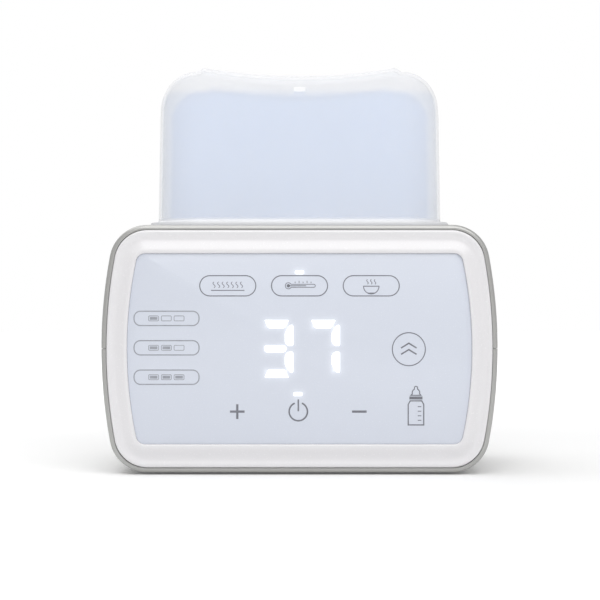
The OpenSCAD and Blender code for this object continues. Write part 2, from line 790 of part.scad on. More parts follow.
lower_housing();
upper_housing();
front_bezel();
touch_panel();
panel_adhesive();
light_shield();
touch_springs();
display_module();
display_segments();
light_guides();
leds();
touch_board();
buzzer();
board_screws();
bezel_screws();
water_tank();
tank_gasket();
tank_screws();
heating_plate(-1);  // heating_plate_left
heating_plate(1);  // heating_plate_right
plate_seal(-1);  // plate_seal_left
plate_seal(1);  // plate_seal_right
heater(-1);  // heater_left
heater(1);  // heater_right
heater_strap(-1);  // heater_strap_left
heater_strap(1);  // heater_strap_right
strap_screws();
temperature_sensor(-1);  // temperature_sensor_left
temperature_sensor(1);  // temperature_sensor_right
thermal_fuse(-1);  // thermal_fuse_left
thermal_fuse(1);  // thermal_fuse_right
power_board();
transformer();
relays();
filter_capacitor();
smoothing_capacitors();
terminal_block();
line_fuse();
power_board_screws();
display_ribbon();
heater_leads();
sensor_leads();
cord_gland();
cord_clamp();
clamp_screws();
rubber_feet();
housing_screws();
lid();
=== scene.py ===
"""Twin electric bottle warmer with its lid on, seen from the front on a pale studio floor."""
from math import asin, comb, cos, hypot, pi, radians, sin, sqrt

import bmesh
import bpy
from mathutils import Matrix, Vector


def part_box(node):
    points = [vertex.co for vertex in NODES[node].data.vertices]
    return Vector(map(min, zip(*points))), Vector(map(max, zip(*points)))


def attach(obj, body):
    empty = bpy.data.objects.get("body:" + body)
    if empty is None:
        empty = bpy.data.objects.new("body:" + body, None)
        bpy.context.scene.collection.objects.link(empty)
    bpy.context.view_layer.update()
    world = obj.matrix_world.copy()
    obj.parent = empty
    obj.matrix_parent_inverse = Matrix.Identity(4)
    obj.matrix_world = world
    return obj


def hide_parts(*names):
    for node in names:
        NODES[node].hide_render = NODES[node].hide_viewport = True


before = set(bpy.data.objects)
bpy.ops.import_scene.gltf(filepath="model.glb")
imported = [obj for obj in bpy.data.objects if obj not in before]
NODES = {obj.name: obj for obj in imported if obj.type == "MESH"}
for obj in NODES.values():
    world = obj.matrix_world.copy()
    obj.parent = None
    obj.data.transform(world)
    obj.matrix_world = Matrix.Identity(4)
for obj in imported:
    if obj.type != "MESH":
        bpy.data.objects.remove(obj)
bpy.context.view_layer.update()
scene = bpy.context.scene
MM = 0.001


def box_mm(node):
    low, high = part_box(node)
    return [c / MM for c in low], [c / MM for c in high]


# ---- Camera and light ----

CAMERA_X, CAMERA_Y = 0.00025, -0.965
CAMERA_RISE = 0.02455  # above the middle of the panel
CAMERA_LENS = 107.5
SKY_SEEN, SKY_LIGHT = 1.0, 0.5  # strength of the world to the camera and as a lamp
AREA_LIGHTS = (  # name, place, target, width, height, watts
    ("overhead", (-0.2, -0.1, 1.2), (0, 0, 0.1), 1.6, 1.0, 6),
    ("key", (0.24, -1.1, 1.05), (0, 0, 0.08), 1.4, 0.9, 9),
    ("rear", (-0.5, 1.3, 0.9), (0, 0, 0.1), 1.4, 0.9, 4),
)


def look_from(position, lens):
    """A level camera that looks along +Y."""
    data = bpy.data.cameras.new("camera")
    data.lens, data.sensor_width = lens, 36
    data.clip_start, data.clip_end = 0.01, 50
    data.dof.use_dof = False
    camera = bpy.data.objects.new("camera", data)
    camera.location = position
    camera.rotation_euler = (pi / 2, 0, 0)
    scene.collection.objects.link(camera)
    scene.camera = camera


def area_light(name, position, target, width, height, power):
    data = bpy.data.lights.new(name, "AREA")
    data.shape, data.size, data.size_y = "RECTANGLE", width, height
    data.energy = power
    lamp = bpy.data.objects.new(name, data)
    lamp.location = position
    lamp.rotation_euler = (Vector(target) - Vector(position)).to_track_quat("-Z", "Y").to_euler()
    scene.collection.objects.link(lamp)


CENTRE_Z = (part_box("touch_panel")[0][2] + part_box("touch_panel")[1][2]) / 2
look_from((CAMERA_X, CAMERA_Y, CENTRE_Z + CAMERA_RISE), CAMERA_LENS)
scene.view_settings.view_transform = "Standard"

world = bpy.data.worlds.new("studio")
world.use_nodes = True
backdrop = world.node_tree.nodes["Background"]
backdrop.inputs["Color"].default_value = (1.0, 1.0, 1.0, 1)
rays = world.node_tree.nodes.new("ShaderNodeLightPath")
brightness = world.node_tree.nodes.new("ShaderNodeMapRange")
brightness.inputs["To Min"].default_value = SKY_LIGHT
brightness.inputs["To Max"].default_value = SKY_SEEN
world.node_tree.links.new(rays.outputs["Is Camera Ray"], brightness.inputs["Value"])
world.node_tree.links.new(brightness.outputs["Result"], backdrop.inputs["Strength"])
scene.world = world
for light in AREA_LIGHTS:
    area_light(*light)


# ---- Materials ----

class Nodes:
    """A node material whose colour, roughness and bump vary with noise in the piece's own space."""

    def __init__(self, name):
        self.material = bpy.data.materials.new(name)
        self.material.use_nodes = True
        self.tree = self.material.node_tree
        self.shader = self.tree.nodes["Principled BSDF"]
        self.space = self.tree.nodes.new("ShaderNodeTexCoord").outputs["Object"]

    def put(self, kind, **values):
        node = self.tree.nodes.new("ShaderNode" + kind)
        for key, value in values.items():
            setattr(node, key, value)
        return node

    def join(self, source, target):
        self.tree.links.new(source, target)

    def math(self, operation, a, b=None):
        node = self.put("Math", operation=operation)
        for socket, value in zip(node.inputs, (a, b)):
            if isinstance(value, (int, float)):
                socket.default_value = value
            elif value is not None:
                self.join(value, socket)
        return node.outputs[0]

    def vector(self, operation, a, b=None):
        node = self.put("VectorMath", operation=operation)
        for socket, value in zip(node.inputs, (a, b)):
            if isinstance(value, (tuple, list)):
                socket.default_value = value
            elif value is not None:
                self.join(value, socket)
        return node.outputs["Value" if operation == "LENGTH" else "Vector"]

    def split(self, vector):
        """Outputs X, Y and Z of a vector."""
        node = self.put("SeparateXYZ")
        self.join(vector, node.inputs[0])
        return node.outputs

    def noise(self, scale, detail=3, stretch=None):
        node = self.put("TexNoise")
        node.inputs["Scale"].default_value = scale
        node.inputs["Detail"].default_value = detail
        space = self.space
        if stretch:
            space = self.vector("MULTIPLY", space, stretch)
        self.join(space, node.inputs["Vector"])
        return node.outputs["Fac"]

    def span(self, value, low, high, start=0.3, end=0.7):
        """Runs from low to high as the value goes from start to end."""
        node = self.put("MapRange")
        for key, number in zip(("From Min", "From Max", "To Min", "To Max"), (start, end, low, high)):
            node.inputs[key].default_value = number
        self.join(value, node.inputs["Value"])
        return node.outputs["Result"]

    def mix(self, factor, a, b):
        """Runs from colour a to colour b as the factor goes from 0 to 1."""
        node = self.put("Mix", data_type="RGBA")
        self.join(factor, node.inputs["Factor"])
        for socket, value in ((node.inputs[6], a), (node.inputs[7], b)):
            if isinstance(value, (tuple, list)):
                socket.default_value = (*value[:3], 1)
            else:
                self.join(value, socket)
        return node.outputs[2]

    def bump(self, height, depth, strength=1.0):
        node = self.put("Bump")
        node.inputs["Strength"].default_value = strength
        node.inputs["Distance"].default_value = depth
        self.join(height, node.inputs["Height"])
        self.join(node.outputs["Normal"], self.shader.inputs["Normal"])

    def set(self, **values):
        """Sets sockets of the shader, each to a number, a colour or a node's output."""
        for key, value in values.items():
            socket = self.shader.inputs[key.replace("_", " ")]
            if isinstance(value, tuple):
                socket.default_value = (*value, 1) if socket.type == "RGBA" else value
            elif isinstance(value, (int, float)):
                socket.default_value = value
            else:
                self.join(value, socket)


def moulded(name, colour, rough, spread=0.05, tone=0.03, grain=2200, depth=0.00002, metallic=0.0,
            coat=0.0, coat_rough=0.05, stretch=None, tone_scale=14):
    """A surface with faintly cloudy colour, uneven roughness and a fine grain."""
    m = Nodes(name)
    dark = tuple(c * (1 - tone) for c in colour)
    light = tuple(min(c * (1 + tone), 1) for c in colour)
    m.set(Base_Color=m.mix(m.span(m.noise(tone_scale), 0, 1), dark, light))
    m.set(Roughness=m.span(m.noise(grain / 2, 3, stretch), rough - spread, rough + spread))
    m.set(Metallic=metallic, Coat_Weight=coat, Coat_Roughness=coat_rough)
    m.bump(m.noise(grain, 2, stretch), depth)
    return m.material


MATERIALS = {
    "shell": moulded("shell", (0.46, 0.46, 0.447), 0.33, 0.04, 0.012, 2600, 0.00002, metallic=0.45,
                     coat=0.3, coat_rough=0.2, tone_scale=9),
    "frame": moulded("frame", (0.785, 0.775, 0.79), 0.26, 0.02, 0.003, 2400, 0.000004,
                     coat=0.35, coat_rough=0.12, tone_scale=6),
    "dark_foam": moulded("dark_foam", (0.05, 0.05, 0.05), 0.85, 0.08, 0.2, 3000, 0.0001),
    "inner_white": moulded("inner_white", (0.80, 0.80, 0.78), 0.5),
    "steel": moulded("steel", (0.62, 0.62, 0.63), 0.3, 0.08, 0.04, 900, 0.00001, metallic=1.0,
                     stretch=(1, 12, 1)),
    "lamp": moulded("lamp", (0.90, 0.88, 0.70), 0.4),
    "board": moulded("board", (0.05, 0.20, 0.10), 0.42, 0.08, 0.12, 1600, 0.00002, tone_scale=200),
    "black_plastic": moulded("black_plastic", (0.03, 0.03, 0.03), 0.5, 0.08, 0.1),
    "tank": moulded("tank", (0.60, 0.605, 0.61), 0.3, 0.05, 0.01, 2000, 0.00001, coat=0.15, coat_rough=0.2),
    "silicone": moulded("silicone", (0.75, 0.76, 0.76), 0.6, 0.05, 0.03),
    "heater_metal": moulded("heater_metal", (0.70, 0.71, 0.72), 0.5, 0.1, 0.06, 700, 0.00006, metallic=1.0),
    "fuse_body": moulded("fuse_body", (0.80, 0.76, 0.66), 0.65, 0.06, 0.05, 900, 0.00003),
    "relay_blue": moulded("relay_blue", (0.05, 0.15, 0.45), 0.4, 0.05, 0.05),
    "capacitor_yellow": moulded("capacitor_yellow", (0.80, 0.60, 0.06), 0.42, 0.05, 0.04),
    "capacitor_sleeve": moulded("capacitor_sleeve", (0.04, 0.05, 0.15), 0.3, 0.05, 0.05),
    "terminal_green": moulded("terminal_green", (0.08, 0.35, 0.16), 0.45, 0.05, 0.05),
    "ribbon": moulded("ribbon", (0.75, 0.76, 0.78), 0.5, 0.05, 0.05, 1000, 0.00004, stretch=(6, 1, 1)),
    "lead_red": moulded("lead_red", (0.55, 0.05, 0.04), 0.55, 0.05, 0.08),
    "lead_black": moulded("lead_black", (0.03, 0.03, 0.03), 0.5, 0.05, 0.08),
    "gland_rubber": moulded("gland_rubber", (0.06, 0.06, 0.06), 0.7, 0.08, 0.15, 2400, 0.00006),
    "foot_rubber": moulded("foot_rubber", (0.08, 0.08, 0.08), 0.75, 0.08, 0.15, 2000, 0.00008),
    "print": moulded("print", (0.19, 0.195, 0.225), 0.5, 0.06, 0.12, 2600, 0.00001, tone_scale=300),
    "pale_print": moulded("pale_print", (0.33, 0.345, 0.385), 0.5, 0.06, 0.1, 2600, 0.00001, tone_scale=300),
}


def fuse_glass():
    """Clear tube of the line fuse."""
    m = Nodes("fuse_glass")
    m.set(Base_Color=m.mix(m.span(m.noise(300), 0, 1), (0.80, 0.84, 0.88), (0.90, 0.93, 0.95)))
    m.set(Roughness=m.span(m.noise(900), 0.04, 0.12), Alpha=0.35)
    m.bump(m.noise(700, 2), 0.00001)
    return m.material


def turned_plate():
    """Steel with fine rings about each well's centre, left by drawing and polishing."""
    left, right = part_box("heating_plate_left"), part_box("heating_plate_right")
    radius = (left[1][0] - left[0][0]) / 2
    m = Nodes("plate")
    apart = m.vector("SUBTRACT", m.vector("ABSOLUTE", m.space), (right[0][0] + radius, 0, 0))
    x = m.split(apart)["X"]
    y = m.math("SUBTRACT", m.split(m.space)["Y"], left[0][1] + radius)
    distance = m.math("SQRT", m.math("ADD", m.math("POWER", x, 2), m.math("POWER", y, 2)))
    ring = m.put("TexNoise", noise_dimensions="1D")
    ring.inputs["Scale"].default_value = 3800
    ring.inputs["Detail"].default_value = 4
    m.join(distance, ring.inputs["W"])
    fine = ring.outputs["Fac"]
    m.set(Base_Color=m.mix(m.span(m.noise(40), 0, 1), (0.58, 0.58, 0.59), (0.68, 0.68, 0.69)), Metallic=1.0)
    m.set(Roughness=m.span(fine, 0.16, 0.34))
    m.bump(fine, 0.00003, 0.6)
    return m.material


FOOT_WHITE = (0.0032, 0.0055)  # heights above the lid's foot between which its solid white ends, in m
CEILING_PAINTED_LIGHT = (0.0145, 0.0115)  # depths under the lid's top between which its front turns white, painted light for the glow through the ceiling, in m


def frosted_lid():
    """Milky polypropylene with a blue cast in its broad faces, partly its own and partly painted shade of
    its inside, most on the rear wall; whiter in its corners, ends and ceiling, which is painted light.
    """
    m = Nodes("lid")
    geometry = m.put("NewGeometry")
    normal = m.split(m.vector("ABSOLUTE", geometry.outputs["True Normal"]))
    place = m.split(m.space)
    foot = [lid_z0 * MM + height for height in FOOT_WHITE]
    ceiling = [lid_z1 * MM - depth for depth in CEILING_PAINTED_LIGHT]
    # Painted light: faces turned to the sides, up or down are painted white to stand in for light through
    # the milky plastic; faces that look to the front or back keep the blue.
    broad = m.span(normal["Y"], 0, 1, 0.3, 0.42)
    rear = m.span(place["Y"], 0, 1, 0.0, 0.02)
    cloud = m.span(m.noise(18, 2), 0, 1)
    # The blue is partly the plastic's own cast and partly painted shade of the lid's inside, seen through
    # its walls.
    blue = m.mix(cloud, (0.33, 0.53, 0.90), (0.35, 0.55, 0.915))
    above = m.span(place["Z"], 0, 1, *foot)
    # Painted light: the front is painted white just under the top, standing in for light coming through the
    # ceiling.
    painted_ceiling_light = m.span(place["Z"], 0.3, 0, *ceiling)
    cast_and_painted_light = m.math("MULTIPLY", m.math("MULTIPLY", broad, above), m.math("MAXIMUM", rear, painted_ceiling_light))
    m.set(Base_Color=m.mix(cast_and_painted_light, (0.92, 0.925, 0.955), blue))
    m.set(Roughness=m.span(m.noise(1500, 3), 0.26, 0.32), Coat_Weight=0.2, Coat_Roughness=0.15)
    edge = m.put("LayerWeight")
    edge.inputs["Blend"].default_value = 0.35
    rim = m.span(edge.outputs["Facing"], 0, 0.05, 0.3, 0.9)
    skin = m.math("ADD", m.span(broad, 0.18, 0.23, 0, 1), m.span(cloud, 0, 0.01, 0, 1))
    thin = m.math("ADD", skin, rim)
    m.set(Alpha=m.math("MAXIMUM", thin, m.span(place["Z"], 0.8, 0, *foot)))
    m.bump(m.noise(2400, 2), 0.000006)
    return m.material


DISPLAY_GLOW = []  # soft light round each lit bar: (centre x, centre z, half width, half height) in mm
GLOW_INSET = 0.9  # how far the glow's box lies inside its bar, in mm
GLOW_REACH = 0.0012  # distance over which the glow falls to about a third, in m
EULER = 2.718


def panel_acrylic():
    """Back-painted acrylic under a clear gloss, with a faint glow spread round the lit bars."""
    m = Nodes("panel")
    near = None
    for x, z, w, h in DISPLAY_GLOW:
        offset = m.vector("ABSOLUTE", m.vector("SUBTRACT", m.space, (x * MM, 0, z * MM)))
        past = m.vector("MAXIMUM", m.vector("SUBTRACT", offset, (w * MM, 1, h * MM)), (0, 0, 0))
        gap = m.vector("LENGTH", past)
        near = gap if near is None else m.math("MINIMUM", near, gap)
    glow = m.math("POWER", EULER, m.math("MULTIPLY", near, -1 / GLOW_REACH))
    m.set(Base_Color=m.mix(m.span(m.noise(9, 1), 0, 1), (0.662, 0.697, 0.779), (0.668, 0.703, 0.785)))
    m.set(Roughness=m.span(m.noise(1400, 3), 0.24, 0.28), Coat_Weight=0.4, Coat_Roughness=0.08)
    m.set(Emission_Color=(0.93, 0.96, 1.0), Emission_Strength=m.math("MULTIPLY", glow, 0.28))
    m.bump(m.noise(2400, 2), 0.000003)
    return m.material


def lit_window():
    """White windows of the lit bars."""
    m = Nodes("lit")
    m.set(Base_Color=m.mix(m.span(m.noise(500), 0, 1), (0.93, 0.95, 0.98), (0.97, 0.98, 1.0)))
    m.set(Roughness=m.span(m.noise(900), 0.3, 0.45), Emission_Color=(1.0, 1.0, 1.0))
    m.set(Emission_Strength=m.span(m.noise(260, 2), 0.5, 0.6))
    m.bump(m.noise(1500, 2), 0.000005)
    return m.material


# ---- Mesh helpers ----

def stock(name, verts, faces, sharp=35):
    """A loose solid from points in mm."""
    mesh = bpy.data.meshes.new(name)
    mesh.from_pydata([(x * MM, y * MM, z * MM) for x, y, z in verts], [], faces)
    obj = bpy.data.objects.new(name, mesh)
    scene.collection.objects.link(obj)
    tidy(obj, sharp)
    return obj


def piece(name, verts, faces, slot, body="base", replaced=(), look=None, sharp=35):
    """A finished mesh piece, with its body and material, the material named by its look or else by its slot.
    """
    obj = stock(name, verts, faces, sharp)
    obj.data.materials.append(MATERIALS[look or slot])
    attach(obj, body)
    if replaced:
        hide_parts(*replaced)
    return obj


def tidy(obj, sharp=35):
    """Joins doubled points, turns faces outwards and shades smooth up to an angle."""
    work = bmesh.new()
    work.from_mesh(obj.data)
    bmesh.ops.remove_doubles(work, verts=work.verts, dist=1e-7)
    bmesh.ops.dissolve_degenerate(work, edges=work.edges, dist=1e-7)
    bmesh.ops.recalc_face_normals(work, faces=work.faces)
    work.to_mesh(obj.data)
    work.free()
    obj.data.shade_smooth()
    obj.data.set_sharp_from_angle(angle=radians(sharp))


def apply_modifiers(obj):
    """Puts the mesh that a piece's modifiers make in place of its own."""
    depsgraph = bpy.context.evaluated_depsgraph_get()
    mesh = bpy.data.meshes.new_from_object(obj.evaluated_get(depsgraph))
    obj.modifiers.clear()
    old, obj.data = obj.data, mesh
    mesh.name = obj.name
    bpy.data.meshes.remove(old)


def soften(obj, width, limit=35):
    """Rounds the sharp edges of a piece, then weights its normals."""
    bevel = obj.modifiers.new("bevel", "BEVEL")
    bevel.width, bevel.segments = width * MM, 2
    bevel.limit_method, bevel.angle_limit = "ANGLE", radians(limit)
    bevel.use_clamp_overlap = True
    bevel.miter_outer = "MITER_ARC"
    weighted = obj.modifiers.new("normals", "WEIGHTED_NORMAL")
    weighted.keep_sharp = False


def combine(obj, others, operation="DIFFERENCE"):
    """Cuts the others out of a solid, or joins them to it, and removes them."""
    for other in others:
        modifier = obj.modifiers.new("cut", "BOOLEAN")
        modifier.operation, modifier.object, modifier.solver = operation, other, "EXACT"
    apply_modifiers(obj)
    for other in others:
        bpy.data.objects.remove(other)


def loft(rings, closed_ends=True):
    """Points and faces of a skin through rings of equal count."""
    n = len(rings[0])
    verts = [p for ring in rings for p in ring]
    faces = [
        (k * n + i, k * n + (i + 1) % n, (k + 1) * n + (i + 1) % n, (k + 1) * n + i)
        for k in range(len(rings) - 1) for i in range(n)
    ]
    if closed_ends:
        faces.append(tuple(reversed(range(n))))
        faces.append(tuple((len(rings) - 1) * n + i for i in range(n)))
    else:
        k = len(rings) - 1
        faces += [(k * n + i, k * n + (i + 1) % n, (i + 1) % n, i) for i in range(n)]
    return verts, faces


def arc(cx, cy, r, a0, a1, n, skip=0):
    """Points along an arc of n steps, less the first few where skip says so."""
    return [
        (cx + r * cos(a0 + (a1 - a0) * i / n), cy + r * sin(a0 + (a1 - a0) * i / n))
        for i in range(skip, n + 1)
    ]


def four_way(q):
    """Closes an outline from its upper right quarter, which runs from the first axis to the second."""
    return (
        q[:-1]
        + [(-x, y) for x, y in reversed(q)][:-1]
        + [(-x, -y) for x, y in q][:-1]
        + [(x, -y) for x, y in reversed(q)][:-1]
    )


def bulged(a, b, rs, rc, side=12, corner=14, flat=14):
    """Outline of a rectangle of half size a by b, its sides bulged to rs and its corners rounded to rc."""
    sx, cz = a - rs, b - rc
    cx = sx + sqrt((rs - rc) ** 2 - cz ** 2)
    turn = asin(cz / (rs - rc))
    quarter = arc(sx, 0, rs, 0, turn, side) + arc(cx, cz, rc, turn, pi / 2, corner, 1)
    quarter += [(cx * (1 - i / flat), b) for i in range(1, flat + 1)]
    return four_way(quarter)


def rounded_outline(a, b, r, corner=10, flat=4):
    """Outline of a rectangle of half size a by b with corners rounded to r."""
    quarter = [(a, (b - r) * i / flat) for i in range(flat)]
    quarter += arc(a - r, b - r, r, 0, pi / 2, corner)
    quarter += [((a - r) * (1 - i / flat), b) for i in range(1, flat + 1)]
    return four_way(quarter)


def upright(outline, y, mid=0.0):
    """An outline in X and Z stood up at a depth."""
    return [(x, y, z + mid) for x, z in outline]


def lying(outline, z, cx=0.0, cy=0.0):
    """An outline in X and Y laid flat at a height, about a centre."""
    return [(x + cx, y + cy, z) for x, y in outline]


def prism(name, outline, z0, z1, cx=0.0, cy=0.0):
    """A loose upright solid between two heights."""
    return stock(name, *loft([lying(outline, z0, cx, cy), lying(outline, z1, cx, cy)]))


def circle(r, n):
    return [(r * cos(2 * pi * i / n), r * sin(2 * pi * i / n)) for i in range(n)]


def slot_outline(w, l, n=10):
    """A slot of width w along Y."""
    return arc(0, (l - w) / 2, w / 2, 0, pi, n) + arc(0, -(l - w) / 2, w / 2, pi, 2 * pi, n)


def lathe(profile, n, closed_ends=True):
    """Skin of a profile of (radius, height) turned about an upright axis; a ring if the ends stay open."""
    return loft([lying(circle(r, n), h) for r, h in profile], closed_ends)


def shifted(outline, x, z):
    return [(p[0] + x, p[1] + z) for p in outline]


def slab(outline, y0, y1):
    """Points and faces of an outline in X and Z given depth."""
    return loft([upright(outline, y1), upright(outline, y0)])


def gather(parts):
    """Points and faces of several solids as one."""
    verts, faces = [], []
    for v, f in parts:
        base = len(verts)
        verts += v
        faces += [tuple(i + base for i in face) for face in f]
    return verts, faces


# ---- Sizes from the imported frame, in mm ----

(_, rim_y, seam_top), (body_a, rear_y, top_z) = box_mm("upper_housing")
foot_h = box_mm("lower_housing")[0][2]
(_, crest_y, bezel_z0), (bezel_a, skirt_y, bezel_z1) = box_mm("front_bezel")
(_, panel_y, panel_z0), (panel_a, panel_back, panel_z1) = box_mm("touch_panel")
(_, deck_y0, _), (deck_a, deck_y1, _) = box_mm("water_tank")
(_, lid_y0, lid_z0), (flange_a, lid_y1, lid_z1) = box_mm("lid")
FOOT = box_mm("rubber_feet")
GLAND = box_mm("cord_gland")
MID = (bezel_z0 + bezel_z1) / 2
BODY_B = top_z - MID
well_y = (deck_y0 + deck_y1) / 2

# The CAD's own sizes that no box tells
WALL = 2.2
SIDE_R, CORNER_R, REAR_R = 256.0, 19.0, 16.0
DECK_R = 24.0
FOOT_R = 6.0
COLUMN_XS, COLUMN_YS = (-80, 80), (-24, 32)
COLUMN_R, COLUMN_BORE_R = 4.6, 3.3
VENT_XS, VENT_YS = [(i - 4) * 11 for i in range(9)], (-22, 24)
VENT_W, VENT_L = 3, 26
WELL_OPENING = (74, 38, 37.5)  # half width, half depth, corner radius
FOOT_SPOTS = [(x, y) for x in (FOOT[0][0] + FOOT_R, FOOT[1][0] - FOOT_R)
              for y in (FOOT[0][1] + FOOT_R, FOOT[1][1] - FOOT_R)]
GLAND_X, GLAND_Z = ((GLAND[0][i] + GLAND[1][i]) / 2 for i in (0, 2))
NECK_HALF, NECK_R = 5.2, 1.5


# ---- Shell ----

RIM_R = 1.9  # rounding of the front edge
LEDGE = 0.3  # step inside the front edge, where the frame goes in
SOFT_EDGE = 0.3


def shell_rings():
    """Rings from the back, over the outside to the front rim, and back along the inside."""
    outer_turns = [pi / 2 * (1 - i / 10) for i in range(11)]
    rim_turns = [pi / 2 * i / 6 for i in range(1, 7)]
    inner_turns = [pi / 2 * (i + 1) / 6 for i in range(6)]
    inner = REAR_R - WALL
    centre_y = rear_y - REAR_R
    profile = [(REAR_R - REAR_R * cos(t), centre_y + REAR_R * sin(t)) for t in outer_turns]
    profile += [(0, y) for y in (30, 10, -10, -30, -50, rim_y + RIM_R)]
    profile += [(RIM_R - RIM_R * cos(t), rim_y + RIM_R - RIM_R * sin(t)) for t in rim_turns]
    profile += [(WALL + 0.15, rim_y), (WALL + 0.27, rim_y + 0.06), (WALL + LEDGE, rim_y + 0.2)]
    profile += [(WALL + LEDGE, rim_y + 3), (WALL, rim_y + 4)]
    profile += [(WALL, y) for y in (-50, -20, 10, 30, centre_y)]
    profile += [(REAR_R - inner * cos(t), centre_y + inner * sin(t)) for t in inner_turns]
    return [
        upright(bulged(body_a - e, BODY_B - e, SIDE_R - e, CORNER_R - e), y, MID) for e, y in profile
    ]


def half_shell(name, keep_top):
    """The shell above or below the seam, its cut edge closed."""
    obj = stock(name, *loft(shell_rings()))
    work = bmesh.new()
    work.from_mesh(obj.data)
    z = (seam_top if keep_top else MID - (seam_top - MID)) * MM
    geometry = work.verts[:] + work.edges[:] + work.faces[:]
    bmesh.ops.bisect_plane(work, geom=geometry, plane_co=(0, 0, z), plane_no=(0, 0, 1),
                           clear_inner=keep_top, clear_outer=not keep_top)
    rim = [e for e in work.edges if e.is_boundary]
    bmesh.ops.contextual_create(work, geom=rim)
    work.to_mesh(obj.data)
    work.free()
    tidy(obj)
    return obj


def finished(obj, slot, replaced, width, body="base"):
    """Gives a Boolean-built solid its softened edges, material and body."""
    tidy(obj)
    soften(obj, width)
    apply_modifiers(obj)
    obj.data.materials.clear()
    obj.data.materials.append(MATERIALS[slot])
    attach(obj, body)
    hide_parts(*replaced)


def tube(name, x, y, outer, inner, z0, z1):
    """A loose upright tube."""
    verts, faces = lathe([(outer, z0), (outer, z1), (inner, z1), (inner, z0)], 40, False)
    return stock(name, [(a + x, b + y, c) for a, b, c in verts], faces)


def neck_outline(grow):
    """Square neck of the cord gland and, larger by grow, the hole for it."""
    half = NECK_HALF + grow
    return shifted(rounded_outline(half, half, NECK_R + grow, 6, 3), GLAND_X, GLAND_Z)


def deck_outline(grow):
    """Outline of the deck, larger by grow."""
    return rounded_outline(deck_a + grow, (deck_y1 - deck_y0) / 2 + grow, DECK_R + grow, 14)


def make_shell():
    lower = half_shell("shell_lower", False)
    spots = [(x, y) for x in COLUMN_XS for y in COLUMN_YS]
    columns = [tube(f"column_{i}", x, y, COLUMN_R, COLUMN_BORE_R, foot_h + 1, MID - 12)
               for i, (x, y) in enumerate(spots)]
    combine(lower, columns, "UNION")
    holes = [prism("hole", circle(COLUMN_BORE_R, 40), -1, foot_h + 4, x, y) for x, y in spots]
    holes += [prism("seat", circle(FOOT_R + 0.1, 48), -1, FOOT[1][2], x, y) for x, y in FOOT_SPOTS]
    holes += [prism("vent", slot_outline(VENT_W, VENT_L), -1, foot_h + 4, x, y)
              for x in VENT_XS for y in VENT_YS]
    holes.append(stock("cord", *slab(neck_outline(0.15), rear_y - 14, rear_y + 6)))
    combine(lower, holes)
    finished(lower, "shell", ["lower_housing"], SOFT_EDGE)

    upper = half_shell("shell_upper", True)
    seat = prism("seat", deck_outline(0.25), top_z - 2.8, top_z + 5, 0, well_y)
    collar = prism("collar", deck_outline(2.3), top_z - 4.8, top_z - 1.5, 0, well_y)
    combine(upper, [collar], "UNION")
    well = prism("well", rounded_outline(*WELL_OPENING, 20), top_z - 12, top_z + 5, 0, well_y)
    combine(upper, [seat, well])
    finished(upper, "shell", ["upper_housing"], SOFT_EDGE)


# ---- Front frame and panel ----

BEZEL_R = (SIDE_R - WALL, CORNER_R - WALL)  # of the sides and of the corners
PANEL_R = (215.0, 4.5)
PANEL_GAP = 0.04  # between the panel and the frame's window
FACE_SECTION = (  # of the frame: share of the way in to the window, depth behind the crest
    (0.01, 1.95), (0.03, 1.4), (0.06, 1.1), (0.1, 1.02), (0.15, 1.1), (0.22, 1.36), (0.3, 1.64),
    (0.37, 1.78), (0.44, 1.72), (0.52, 1.46), (0.62, 1.0), (0.72, 0.5), (0.8, 0.17), (0.86, 0),
    (0.92, 0), (0.955, 0.06), (0.976, 0.2), (0.99, 0.45), (0.998, 0.85), (1, 1.3),
)
LEDGE_T, LEDGE_W = 2.3, 4  # ledge that the panel is glued to


def bezel_loop():
    """Section of the frame: (share of the way in to the window, extra inset, depth)."""
    ledge_back = panel_back + LEDGE_T
    side = [(0, 0, skirt_y), (0, 0, -58), (0, 0, rim_y + 0.2)]
    face = [(share, 0, crest_y + depth) for share, depth in FACE_SECTION]
    ledge = [(1, 0, panel_back), (1, LEDGE_W, panel_back), (1, LEDGE_W, ledge_back)]
    return side + face + ledge + [(0.6, 0, ledge_back), (0.2, 0, ledge_back), (0.2, 0, skirt_y)]


def make_bezel():
    b, panel_b = (bezel_z1 - bezel_z0) / 2, (panel_z1 - panel_z0) / 2
    outside = bulged(bezel_a, b, *BEZEL_R)
    rings = []
    for share, extra, y in bezel_loop():
        grow = PANEL_GAP - extra
        r = max(PANEL_R[1] + grow, 1.0)
        window = bulged(panel_a + grow, panel_b + grow, PANEL_R[0] + grow, r)
        ring = [(p[0] + (q[0] - p[0]) * share, p[1] + (q[1] - p[1]) * share)
                for p, q in zip(outside, window)]
        rings.append(upright(ring, y, MID))
    piece("bezel_frame", *loft(rings, closed_ends=False), "frame", replaced=["front_bezel"], sharp=50)


def make_panel():
    b = (panel_z1 - panel_z0) / 2
    rings = []
    for inset, y in ((0, panel_back), (0, panel_y + 0.1), (0.03, panel_y + 0.03), (0.1, panel_y)):
        outline = bulged(panel_a - inset, b - inset, PANEL_R[0] - inset, PANEL_R[1] - inset)
        rings.append(upright(outline, y, MID))
    piece("panel_face", *loft(rings), "panel", replaced=["touch_panel"], sharp=50)


# ---- Lit bars ----

DIGIT_X, DIGIT_PITCH = 1.1, 23.5
PROUD, LIT_DEPTH, MARK_DEPTH = 0.05, 1.2, 0.12  # in front of the panel's face and behind it
TOP_BAR = [(-7.0, 14.5), (-4.98, 10.3), (3.0, 10.3), (5.4, 14.5)]
RIGHT_BAR = [(7.5, 11.56), (7.0, 11.98), (5.99, 11.98), (3.3, 7.99), (3.3, 3.36), (4.9, 1.51),
             (7.08, 1.51), (7.5, 1.93)]
MIDDLE_BAR = [(-7.0, 1.2), (-6.4, 1.76), (3.2, 1.76), (4.3, 0.0), (3.2, -1.76), (-6.2, -1.76),
              (-7.0, -0.9)]
LAMP_SPOTS = ((0.0, 38.5), (-0.8, -22.8))
LAMP_W, LAMP_H = 4.4, 1.9


